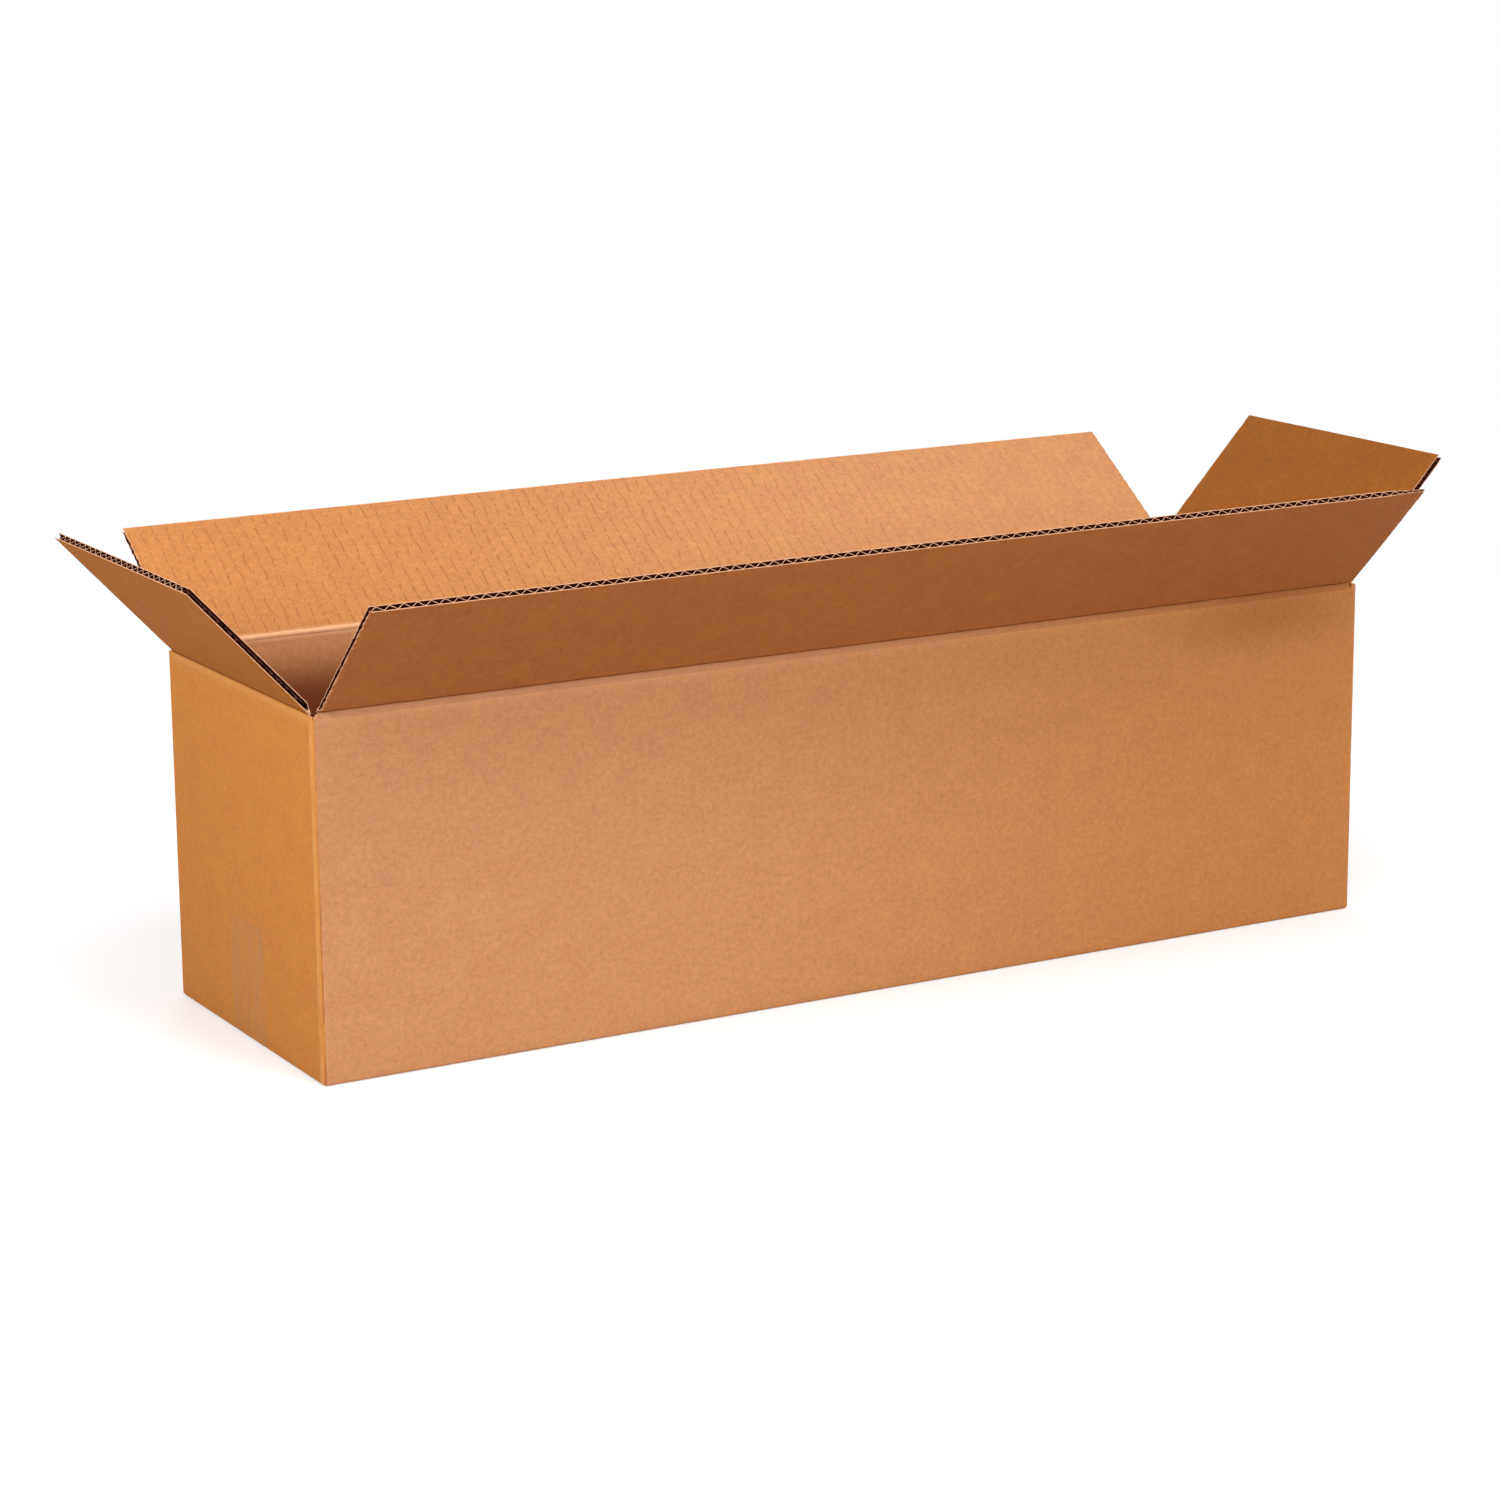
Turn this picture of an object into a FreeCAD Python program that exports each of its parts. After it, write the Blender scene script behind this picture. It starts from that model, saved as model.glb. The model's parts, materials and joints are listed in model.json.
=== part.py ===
import FreeCAD, Part
import math
import os
from FreeCAD import Vector

# An open carton of the slotted kind, folded from one sheet of single-wall corrugated board.
# Millimetres. The origin is the middle of the underside, X runs along the length, Y across
# the width from front to back, and Z up. The floor flaps are shut and taped along their
# seam, and the four top flaps stand open.

# Sizes of the standing carton
outer_length = 719.0
outer_width = 211.0
crease_height = 214.5       # floor to the middle of the top creases
fold_radius = 2.0           # outside of the vertical folds and the bottom edges
bead_radius = 1.5           # crushed liner inside each vertical fold

# Corrugated board
board = 4.0
liner = 0.45                # the flat sheets outside and inside
medium = 0.4                # the wavy sheet between them
flute_pitch = 8.12
flute_end = 1.5             # crushed flute beyond a scored band

# Top creases: the board is crushed to a thin web, on its outer side along the long walls and
# on its inner side along the end walls, so that the long flaps close over the end flaps
score_web = 0.9
score_reach = 4.6
crease_clearance = 0.3

# Cuts of the sheet
slot_width = 5.4            # between neighbouring flaps, centred on the fold
seam_gap = 1.0              # where the long flaps meet
nick_depth = 3.3            # short tear below the slots at the corners
nick_width = 1.0

# Floor: long flaps below, end flaps lying on them
floor_lift = 0.2

# Glued joint: a tab of the back wall lies inside the left end wall
tab_width = 32.0
tab_margin = 6.0
tab_bevel = 9.0
joint_gap = 1.0             # from the cut edge of the end wall to the outer face behind it
joint_channel = 2.0         # depth of the open flute along that cut edge

# Clear tape along the floor seam and up both ends
tape_width = 48.0
tape_thickness = 0.1
tape_rise = 72.0

# Flap angles in degrees from upright, outwards
front_angle = 46.0
back_angle = 55.0
left_angle = 43.0
right_angle = 43.5

# Sizes that follow from the above
half_length = outer_length / 2
half_width = outer_width / 2
web_half = score_web / 2
flap_inset = (board + slot_width) / 2
flap_length = half_width - (board - web_half) - seam_gap / 2
long_flap_width = outer_length - 2 * flap_inset
end_flap_width = outer_width - 2 * flap_inset
crease_step = (score_web + crease_clearance) / 2
long_crease = crease_height + crease_step
end_crease = crease_height - crease_step
tip_drop = web_half + crease_clearance
long_wall_top = long_crease - tip_drop
end_wall_top = end_crease - tip_drop
spare = 1.0                 # how far a cutting shape runs past the face that it cuts

UP = Vector(0, 0, 1)


def solid_from(points, run):
    """A closed outline of points, swept along the vector run."""
    wire = Part.makePolygon(points + [points[0]])
    return Part.Face(wire).extrude(run)


def block(low, high):
    """A box from its lowest to its highest corner."""
    size = Vector(*high) - Vector(*low)
    return Part.makeBox(size.x, size.y, size.z, Vector(*low))


class Hinge:
    """The crease between one wall and its flap, and the directions at it."""

    def __init__(self, outward, half_extent, height, width, crushed_outside, angle):
        self.outward = outward
        self.along = UP.cross(outward)
        self.width = width
        self.angle = angle
        self.crushed = outward if crushed_outside else -outward
        from_outer_face = board - web_half if crushed_outside else web_half
        self.pivot = outward * (half_extent - from_outer_face) + UP * height

    def point(self, up, across, along=0.0):
        """up from the pivot, across the board towards its crushed side, along the crease."""
        return self.pivot + UP * up + self.crushed * across + self.along * along

    def opened(self, shape):
        """The shape turned outwards from upright to the flap's angle."""
        shape.rotate(self.pivot, self.along, self.angle)
        return shape


def web_end(hinge, height, start, side):
    """The round end of the crushed web: its arc, from start to the other face."""
    middle = hinge.point(height + side * web_half, 0, start)
    first = hinge.point(height, web_half, start)
    last = hinge.point(height, -web_half, start)
    return Part.Arc(first, middle, last).toShape()


def flap_blank(hinge):
    """A flap standing upright, without its flutes: full board that thins to the crease."""
    start = -hinge.width / 2
    thick = board - web_half
    root = web_end(hinge, 0, start, -1)
    path = [(0, -web_half), (flap_length, -web_half), (flap_length, thick), (score_reach, thick), (0, web_half)]
    edges = Part.makePolygon([hinge.point(up, across, start) for up, across in path]).Edges
    return Part.Face(Part.Wire(edges + [root])).extrude(hinge.along * hinge.width)


def flute_cells(origin, along, across, inward, width, depth):
    """The air in the flutes of a cut edge, as prisms that run in from it.

    origin is the middle of the edge on one face of the board, and across points through
    the board to its other face."""
    low = liner
    high = board - liner
    wall = medium / 2
    cells = []
    for number in range(-math.ceil(width / flute_pitch), math.ceil(width / flute_pitch) + 1):
        centre = number * flute_pitch / 2
        base, apex = (low, high - medium) if number % 2 else (high, low + medium)
        half = flute_pitch / 2 - wall
        outline = [(centre - half, base), (centre + half, base), (centre, apex)]
        if abs(centre) < width / 2 + half:
            corners = [origin - inward * spare + along * a + across * b for a, b in outline]
            cells.append(solid_from(corners, inward * (depth + spare)))
    return Part.makeCompound(cells)


def top_flap(hinge):
    """A whole flap at its rest angle, with the flutes open along its cut edge."""
    edge = hinge.point(flap_length, -web_half)
    depth = flap_length - score_reach - flute_end
    cells = flute_cells(edge, hinge.along, hinge.crushed, -UP, hinge.width, depth)
    return hinge.opened(flap_blank(hinge).cut(cells))


def crease_groove(hinge):
    """What the score takes away from the top of a wall, a little wider than the flap."""
    start = -hinge.width / 2 - crease_clearance
    tip = -score_web - crease_clearance
    thick = board - web_half
    round_top = web_end(hinge, tip, start, 1)
    path = [(tip, -web_half), (tip, -web_half - spare), (spare, -web_half - spare),
            (spare, thick + spare), (-score_reach, thick + spare), (-score_reach, thick), (tip, web_half)]
    edges = Part.makePolygon([hinge.point(up, across, start) for up, across in path]).Edges
    return Part.Face(Part.Wire(edges + [round_top])).extrude(hinge.along * -2 * start)


def tray():
    """The four walls and the long floor flaps, square and closed."""
    outer = block((-half_length, -half_width, 0), (half_length, half_width, long_wall_top))
    folds = []
    for edge in outer.Edges:
        middle = edge.BoundBox.Center
        is_vertical = edge.BoundBox.ZLength > board
        is_glued_corner = is_vertical and middle.x < 0 and middle.y > 0
        is_bottom = edge.BoundBox.ZMax < board
        if is_bottom or (is_vertical and not is_glued_corner):
            folds.append(edge)
    outer = outer.makeFillet(fold_radius, folds)
    reach_x = half_length - board
    reach_y = half_width - board
    inner = block((-reach_x, -reach_y, board), (reach_x, reach_y, long_wall_top + spare))
    upright = [edge for edge in inner.Edges if edge.BoundBox.ZLength > board]
    return outer.cut(inner.makeFillet(bead_radius, upright))


def floor_cuts():
    """The seam between the long floor flaps, and the slots at their ends."""
    end = half_length - board
    inside = half_width - board
    cuts = [block((-end, -seam_gap / 2, -spare), (end, seam_gap / 2, board))]
    for side in (-1, 1):
        near, far = sorted((side * (half_length - flap_inset), side * end))
        cuts.append(block((near, -inside, -spare), (far, inside, board)))
    return cuts


def end_floor_flap(side):
    """A floor flap of an end wall, lying on the long ones, with its cut edge open."""
    bottom = board + floor_lift
    tip = half_length - web_half - flap_length
    near, far = sorted((side * tip, side * (half_length - board)))
    half = end_flap_width / 2
    flap = block((near, -half, bottom), (far, half, bottom + board))
    depth = flap_length - board - flute_end
    origin = Vector(side * tip, 0, bottom)
    return flap.cut(flute_cells(origin, Vector(0, 1, 0), UP, Vector(side, 0, 0), end_flap_width, depth))


def wall_end_trim(side):
    """Brings an end wall down to its own crease, between the long walls."""
    near, far = sorted((side * (half_length - board - bead_radius), side * (half_length + spare)))
    inside = half_width - board
    return block((near, -inside, end_wall_top), (far, inside, long_wall_top + spare))


def corner_nicks():
    """The short tears below the slots, cut on the diagonal of each folded corner."""
    nicks = []
    reach = board + spare
    for x, y in ((-1, -1), (1, -1), (1, 1)):
        nick = block((-reach, -nick_width / 2, crease_height - nick_depth), (reach, nick_width / 2, long_wall_top + spare))
        nick.rotate(Vector(0, 0, 0), UP, math.degrees(math.atan2(y, x)))
        nick.translate(Vector(x * (half_length - board / 2), y * (half_width - board / 2), 0))
        nicks.append(nick)
    return nicks


def glue_tab():
    """The tab of the back wall, flat against the inside of the left end wall."""
    face = -half_length + board
    back = half_width - board
    low = 2 * board + floor_lift + tab_margin
    high = end_wall_top - score_reach - tab_margin
    outline = [(back, low), (back - tab_width, low + tab_bevel), (back - tab_width, high - tab_bevel), (back, high)]
    return solid_from([Vector(face, y, z) for y, z in outline], Vector(board, 0, 0))


def joint_cuts():
    """The cut edge of the left end wall at the glued corner, and the fold beside it."""
    left = -half_length
    fold = left + board
    top = long_wall_top + spare
    edge = half_width - joint_gap
    gap = block((left - spare, edge, -spare), (fold, half_width + spare, top))
    flute = block((left + liner, edge - joint_channel, fold_radius), (fold - liner, edge + spare, top))
    square = block((fold - spare, half_width - fold_radius, -spare), (fold + fold_radius, half_width + spare, top))
    round_fold = Part.makeCylinder(fold_radius, top + 2 * spare,
                                   Vector(fold + fold_radius, half_width - fold_radius, -spare))
    inner_edge = block((fold - spare, half_width - fold_radius, -spare), (fold, edge, top))
    return [gap, flute, square.cut(round_fold).cut(inner_edge)]


def tape_strip():
    """One strip of tape: flush along the floor seam, then up over both end walls."""
    bend = Vector(half_length - fold_radius, 0, fold_radius + tape_thickness)

    def outline(sign, radius):
        """The line of one face of the strip, from the right end round to the left one."""
        slant = radius * math.sqrt(0.5)
        top = Vector(bend.x + radius, 0, tape_rise)
        side = Vector(bend.x + radius, 0, bend.z)
        middle = Vector(bend.x + slant, 0, bend.z - slant)
        under = Vector(bend.x, 0, bend.z - radius)
        mirrored = [Vector(sign * p.x, 0, p.z) for p in (top, side, middle, under)]
        line = Part.makeLine(mirrored[0], mirrored[1])
        return line, Part.Arc(mirrored[1], mirrored[2], mirrored[3]).toShape(), mirrored

    inner_radius = fold_radius
    outer_radius = fold_radius + tape_thickness
    edges = []
    ends = {}
    for radius in (inner_radius, outer_radius):
        for sign in (-1, 1):
            line, arc, points = outline(sign, radius)
            edges += [line, arc]
            ends[radius, sign] = points
        edges.append(Part.makeLine(ends[radius, -1][3], ends[radius, 1][3]))
    for sign in (-1, 1):
        edges.append(Part.makeLine(ends[inner_radius, sign][0], ends[outer_radius, sign][0]))
    face = Part.Face(Part.Wire(Part.__sortEdges__(edges)))
    face.translate(Vector(0, -tape_width / 2, 0))
    return face.extrude(Vector(0, tape_width, 0))


hinges = {
    "front_flap": Hinge(Vector(0, -1, 0), half_width, long_crease, long_flap_width, True, front_angle),
    "back_flap": Hinge(Vector(0, 1, 0), half_width, long_crease, long_flap_width, True, back_angle),
    "left_flap": Hinge(Vector(-1, 0, 0), half_length, end_crease, end_flap_width, False, left_angle),
    "right_flap": Hinge(Vector(1, 0, 0), half_length, end_crease, end_flap_width, False, right_angle),
}

tape = tape_strip()

body = tray().fuse([glue_tab()] + [end_floor_flap(side) for side in (-1, 1)])
body = body.cut(floor_cuts() + [wall_end_trim(side) for side in (-1, 1)])
body = body.cut([crease_groove(hinge) for hinge in hinges.values()])
body = body.cut(corner_nicks() + joint_cuts())
body = body.cut(tape)

nodes = {"box_body": body, "seam_tape": tape}
for name, hinge in hinges.items():
    nodes[name] = top_flap(hinge)

os.makedirs("parts", exist_ok=True)
for name, shape in nodes.items():
    solids = shape.Solids
    whole = solids[0] if len(solids) == 1 else Part.makeCompound(solids)
    whole.exportStep(os.path.join("parts", name + ".step"))
    box = whole.BoundBox
    print(f"{name:11s} solids {len(solids)}  valid {whole.isValid()}  volume {whole.Volume / 1000:8.1f} cm3"
          f"  x {box.XMin:7.1f} {box.XMax:6.1f}  y {box.YMin:7.1f} {box.YMax:6.1f}  z {box.ZMin:6.2f} {box.ZMax:6.1f}")
for name, hinge in hinges.items():
    print(f"{name:11s} pivot {hinge.pivot.x:8.2f} {hinge.pivot.y:8.2f} {hinge.pivot.z:7.2f}"
          f"  along {hinge.along.x:4.0f} {hinge.along.y:4.0f}  angle {hinge.angle}")
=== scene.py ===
# %% [markdown]
# # An open cardboard box
#
# The object is a long shipping box, folded from one sheet of corrugated board. Its floor is
# taped shut and its four top flaps stand open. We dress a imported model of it: the frame gives
# every size and every crease, and this lesson makes the paper.
#
# A box looks simple, and that is the trap. Four plain slabs would read as wood or plastic.
# What says "corrugated board" is the cut edge, where a wavy sheet runs between two flat ones,
# and the crushed band at each fold. So those are modelled, and the rest is left to the grain
# of the paper.

# %% Load the frame
import json
import math
import bmesh
import bpy
import numpy as np
from mathutils import Matrix, Vector, noise


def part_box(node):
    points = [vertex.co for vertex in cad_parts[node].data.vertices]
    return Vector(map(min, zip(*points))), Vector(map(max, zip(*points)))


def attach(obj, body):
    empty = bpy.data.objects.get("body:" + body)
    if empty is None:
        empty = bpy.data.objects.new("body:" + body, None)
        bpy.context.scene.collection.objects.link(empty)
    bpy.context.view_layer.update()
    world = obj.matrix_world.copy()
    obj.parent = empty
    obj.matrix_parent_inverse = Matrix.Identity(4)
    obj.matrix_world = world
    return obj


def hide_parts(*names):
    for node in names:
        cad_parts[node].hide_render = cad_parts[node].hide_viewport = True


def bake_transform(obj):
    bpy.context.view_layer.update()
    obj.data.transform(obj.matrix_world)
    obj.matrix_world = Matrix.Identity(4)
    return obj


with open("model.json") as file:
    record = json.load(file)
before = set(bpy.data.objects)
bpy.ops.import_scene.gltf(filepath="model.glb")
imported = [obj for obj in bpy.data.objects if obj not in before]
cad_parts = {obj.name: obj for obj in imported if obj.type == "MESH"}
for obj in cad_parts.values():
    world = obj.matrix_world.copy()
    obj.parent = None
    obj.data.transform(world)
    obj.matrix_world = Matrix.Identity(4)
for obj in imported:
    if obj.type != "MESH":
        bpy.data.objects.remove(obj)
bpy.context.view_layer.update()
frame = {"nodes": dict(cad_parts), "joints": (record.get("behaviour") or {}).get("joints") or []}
MM = 0.001
UP = Vector((0, 0, 1))

# %% [markdown]
# ## The sheet's own sizes
#
# Corrugated board is three papers thick: an outer liner, an inner liner and a wavy medium
# between them. At a crease the three are crushed to a thin web. The frame knows where the
# walls and the creases are, so only the paper's own sizes are written here.

# %% Sizes of the board
BOARD = 4.0 * MM
LINER = 0.45 * MM
MEDIUM = 0.34 * MM
PITCH = 8.12 * MM            # from one wave of the medium to the next
WEB = 0.9 * MM               # board left at a crushed crease
REACH = 4.6 * MM             # width of the crushed band on each side of a crease
FOLD = 2.0 * MM              # outside radius of the vertical folds
FOLD_INSIDE = 0.4 * MM       # inside radius of the vertical folds
TRIM = 0.3 * MM              # the flaps stop this far inside the solid's cut edge
CLEAR = 0.3 * MM             # running clearance at a crease
WALL_DROP = WEB + CLEAR      # a wall stops this far under its fold line
SLOT = 5.4 * MM              # width of the slot between two flaps

body_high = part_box("box_body")[1]
HALF_LENGTH = body_high.x
HALF_WIDTH = body_high.y
print("box", 2 * HALF_LENGTH, "by", 2 * HALF_WIDTH, "by", body_high.z)

# %% [markdown]
# ## A crease and its own directions
#
# Every flap is the same shape in a different place, so it pays to model in the flap's own
# directions: s along the crease, u up the flap from the fold, and d down into the board from
# its outer face. One function then places such points in the box. The joint in the frame
# gives the fold line, and its closed limit tells how far the flap leans at rest, because a
# closed flap lies a quarter turn inwards from upright.

# %% Creases from the joints
class Crease:
    """One fold line, with the flap that turns on it."""

    def __init__(self, joint):
        self.flap = joint["child"]
        self.pivot = np.array(joint["pos_m"])
        self.along = np.array(joint["axis"], float)
        self.outward = np.cross(self.along, UP)
        self.lean = math.radians(-joint["range_deg"][0] - 90)
        self.is_long = abs(self.outward[1]) > 0.5
        self.pivot_depth = BOARD - WEB / 2 if self.is_long else WEB / 2
        points = np.array([v.co for v in frame["nodes"][self.flap].data.vertices]) - self.pivot
        self.half_width = (points @ self.along).max()
        self.length = (points @ self.up(self.lean)).max() - TRIM

    def up(self, lean):
        return np.array(UP) * math.cos(lean) + self.outward * math.sin(lean)

    def face(self, lean):
        return self.outward * math.cos(lean) - np.array(UP) * math.sin(lean)

    def place(self, s, u, d, lean):
        """Points at s, u and d of board that leans outwards by that angle."""
        s, u, d = np.broadcast_arrays(s, u, d)
        return (self.pivot + s[..., None] * self.along + u[..., None] * self.up(lean)
                + (self.pivot_depth - d)[..., None] * self.face(lean))


creases = {joint["child"]: Crease(joint) for joint in frame["joints"]}
for name, crease in creases.items():
    print(name, "leans", round(math.degrees(crease.lean), 1), "length", round(crease.length / MM, 2), "mm")

# %% [markdown]
# ## The camera
#
# The camera comes before the paper. Its place was worked out from the corners of the box:
# it stands about two and a half metres off, to the left of the front, and looks a little down.

# %% Camera at the reference's angle
CAMERA_PLACE = Vector((-1.2144, -2.0990, 0.7011))
CAMERA_TURN = math.radians(29.563)       # from straight along +Y towards +X
CAMERA_DIP = math.radians(13.283)
CAMERA_ROLL = math.radians(-0.479)
FOCUS_PIXELS = 4032.8                    # focal length in pixels of a picture 1500 wide
PICTURE_PIXELS = 1500
SENSOR = 36.0


def new_object(name, data):
    """An object in the scene with that mesh, camera or lamp."""
    made = bpy.data.objects.new(name, data)
    bpy.context.scene.collection.objects.link(made)
    return made


def add_camera():
    forward = Vector((math.sin(CAMERA_TURN) * math.cos(CAMERA_DIP),
                      math.cos(CAMERA_TURN) * math.cos(CAMERA_DIP), -math.sin(CAMERA_DIP)))
    right = Vector((math.cos(CAMERA_TURN), -math.sin(CAMERA_TURN), 0))
    above = right.cross(forward)
    rolled_right = right * math.cos(CAMERA_ROLL) + above * math.sin(CAMERA_ROLL)
    rolled_above = above * math.cos(CAMERA_ROLL) - right * math.sin(CAMERA_ROLL)
    data = bpy.data.cameras.new("studio_camera")
    data.sensor_width = SENSOR
    data.lens = FOCUS_PIXELS / PICTURE_PIXELS * SENSOR
    camera = new_object("studio_camera", data)
    turn = Matrix((rolled_right, rolled_above, -forward)).transposed().to_4x4()
    camera.matrix_world = Matrix.Translation(CAMERA_PLACE) @ turn
    bpy.context.scene.camera = camera
    return camera


camera = add_camera()
print("lens", round(camera.data.lens, 2), "mm")

# %% [markdown]
# ## Kraft paper
#
# Kraft liner is never one colour. It drifts between pink and yellow over some centimetres, it
# is speckled all over, and loose fibres about three millimetres long lie in it, dark ones along
# one way and pale ones across. We could paint all that on an image, but a procedural material
# stays sharp at any distance. Each mesh below stores a "grain" attribute, the place on the flat
# sheet in metres, and the material reads it, so that the pattern turns with every panel and
# bends round every fold.

# %% Small helpers for node trees
def empty_tree(owner):
    """Clears the nodes of a material or a world, and gives the function that adds new ones."""
    owner.use_nodes = True
    tree = owner.node_tree
    tree.nodes.clear()

    def add(kind, inputs, **settings):
        """A node with its settings and inputs. An input is a value or another node's socket."""
        node = tree.nodes.new("ShaderNode" + kind)
        for key, value in settings.items():
            setattr(node, key, value)
        for key, value in inputs.items():
            if isinstance(value, bpy.types.NodeSocket):
                tree.links.new(value, node.inputs[key])
            else:
                node.inputs[key].default_value = value
        return node

    return add


def new_material(name):
    """A material, its surface shader, and the function that adds nodes to it."""
    material = bpy.data.materials.new(name)
    add = empty_tree(material)
    shader = add("BsdfPrincipled", {})
    add("OutputMaterial", {"Surface": shader.outputs["BSDF"]})
    return material, shader, add


def link(socket, target):
    """Joins an output to an input of the same tree."""
    target.id_data.links.new(socket, target)


def cloud(add, vector, detail, roughness):
    """Noise of about 0.2 to 0.8 over that vector."""
    inputs = {"Vector": vector, "Scale": 1.0, "Detail": detail, "Roughness": roughness}
    return add("TexNoise", inputs).outputs["Fac"]


def pattern(add, place, across, up, detail, roughness=0.6):
    """The same noise over the sheet, as wide and as tall as those two sizes."""
    sizes = {0: place, 1: (1 / across, 1 / up, 1.0)}
    scaled = add("VectorMath", sizes, operation="MULTIPLY").outputs[0]
    return cloud(add, scaled, detail, roughness)


def remap(add, value, low, high, to_low=0.0, to_high=1.0):
    inputs = {"Value": value, "From Min": low, "From Max": high, "To Min": to_low, "To Max": to_high}
    return add("MapRange", inputs, clamp=True).outputs["Result"]


def calculate(add, operation, *values):
    return add("Math", dict(enumerate(values)), operation=operation).outputs[0]


def mix_colours(add, factor, first, second):
    """Two colours mixed. Each is three numbers or another node's socket."""
    factor_socket, first_socket, second_socket = 0, 6, 7
    inputs = {factor_socket: factor}
    for key, colour in ((first_socket, first), (second_socket, second)):
        inputs[key] = colour if isinstance(colour, bpy.types.NodeSocket) else (*colour, 1.0)
    return add("Mix", inputs, data_type="RGBA").outputs[2]


def scale_colour(add, colour, factor):
    return add("VectorMath", {0: colour, "Scale": factor}, operation="SCALE").outputs[0]


def tinted(colour, tint):
    return tuple(channel * share for channel, share in zip(colour, tint))


print("node helpers ready")

# %% [markdown]
# Three marks can lie on the paper besides its own pattern. The first makes it pale: wear where a
# fold or an edge has been rubbed, and painted highlights along creases and folds. The second turns
# the sheet darker and more orange, mostly as painted shade. The third is painted shade: dark lines
# at creases and folds, a painted shadow, and the darkness inside the box. Each mesh stores them in
# one "marks" attribute, and the material mixes them.

# %% The paper's material
CLOUD_SIZE = 20 * MM
SPECK_SIZE = 3.8 * MM
FIBRE_LENGTH = 3.0 * MM
FIBRE_WIDTH = 0.8 * MM
# The patches break up both the wear and the painted highlights.
PATCH_SIZE = 6 * MM          # of the uneven rubbing
CLOUD_DEPTH = 0.04           # how far the clouds lighten and darken the paper
FIBRE_DEPTH = 0.14
STRAY_LIGHT = 0.12
RELIEF = 0.12 * MM
RELIEF_STRENGTH = 0.5
FIBRE_RELIEF = 0.9           # how much fibres and specks stand out, beside the ribs
SPECK_RELIEF = 0.7
ROUGHNESS = (0.62, 0.78)
PINKISH = (1.01, 0.98, 1.05)
YELLOWISH = (0.99, 1.02, 0.95)
# The next tint, darker and more orange, is mostly painted shade.
DRIFTED_AND_SHADED = (0.86, 0.75, 0.50)
# The next tint darkens the paper where shade is painted.
PAINTED_SHADE_TINT = (0.30, 0.14, 0.08)
CRACKED = (0.66, 0.50, 0.42)


def kraft(name, base, pale_tone, specular=0.1, speckle=0.2, ribs=0.2, cracked=0.0):
    """Kraft liner of one base colour. Its pale colour is used where it is rubbed, and for painted
    highlights.
    """
    material, shader, add = new_material(name)
    place = add("Attribute", {}, attribute_name="grain").outputs["Vector"]
    marked = add("Attribute", {}, attribute_name="marks").outputs["Vector"]
    wear_and_highlight, drift_and_shade, painted_shade = add("SeparateXYZ", {0: marked}).outputs
    clouds = pattern(add, place, CLOUD_SIZE, CLOUD_SIZE, detail=4.0)
    specks = pattern(add, place, SPECK_SIZE, SPECK_SIZE, detail=5.0, roughness=0.8)
    fibres = pattern(add, place, FIBRE_LENGTH, FIBRE_WIDTH, detail=2.0)
    strays = pattern(add, place, FIBRE_WIDTH, FIBRE_LENGTH, detail=2.0)
    hue = remap(add, clouds, 0.35, 0.65)
    colour = mix_colours(add, hue, tinted(base, PINKISH), tinted(base, YELLOWISH))
    # Darker and more orange, mostly as painted shade.
    colour = mix_colours(add, drift_and_shade, colour, tinted(base, DRIFTED_AND_SHADED))
    light = remap(add, specks, 0.25, 0.75, 1 - speckle, 1 + speckle)
    for layer in (remap(add, clouds, 0.3, 0.7, 1 - CLOUD_DEPTH, 1 + CLOUD_DEPTH),
                  remap(add, fibres, 0.56, 0.70, 1.0, 1 - FIBRE_DEPTH),
                  remap(add, strays, 0.57, 0.70, 1.0, 1 + STRAY_LIGHT)):
        light = calculate(add, "MULTIPLY", light, layer)
    colour = scale_colour(add, colour, light)
    if cracked:
        colour = mix_colours(add, flute_cracks(add, place, cracked), colour, tinted(base, CRACKED))
    # Paler where the edges are worn, and where highlights are painted along creases and folds.
    patches = pattern(add, place, PATCH_SIZE, PATCH_SIZE, detail=2.0)
    worn_and_highlit = calculate(add, "MULTIPLY", wear_and_highlight, remap(add, patches, 0.3, 0.6, 0.7, 1.0))
    colour = mix_colours(add, worn_and_highlit, colour, pale_tone)
    # Painted shade: dark lines at creases and folds, a painted shadow, and the darkness inside.
    colour = mix_colours(add, painted_shade, colour, tinted(base, PAINTED_SHADE_TINT))
    link(colour, shader.inputs["Base Color"])
    link(remap(add, specks, 0.3, 0.7, *ROUGHNESS), shader.inputs["Roughness"])
    shader.inputs["Specular IOR Level"].default_value = specular
    height = paper_height(add, place, fibres, specks, ribs)
    bump = add("Bump", {"Height": height, "Strength": RELIEF_STRENGTH, "Distance": RELIEF})
    link(bump.outputs["Normal"], shader.inputs["Normal"])
    return material


def paper_height(add, place, fibres, specks, ribs):
    """The relief of the paper: its specks and fibres, and the flutes that show through."""
    across = add("SeparateXYZ", {0: place}).outputs["X"]
    wave = calculate(add, "SINE", calculate(add, "MULTIPLY", across, 2 * math.pi / PITCH))
    grainy = calculate(add, "MULTIPLY", specks, SPECK_RELIEF)
    relief = calculate(add, "MULTIPLY_ADD", fibres, FIBRE_RELIEF, grainy)
    return calculate(add, "MULTIPLY_ADD", wave, ribs, relief)


print("tints", PINKISH, YELLOWISH, DRIFTED_AND_SHADED, PAINTED_SHADE_TINT)

# %% [markdown]
# Inside the flaps, the liner has cracked a little over its flutes, in short dark lines that run
# up the flap. Each flute is a lane. Within a lane, noise along its length decides where the line
# shows, a second noise makes it wander, and the lines fade towards the right end of the box.

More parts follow.
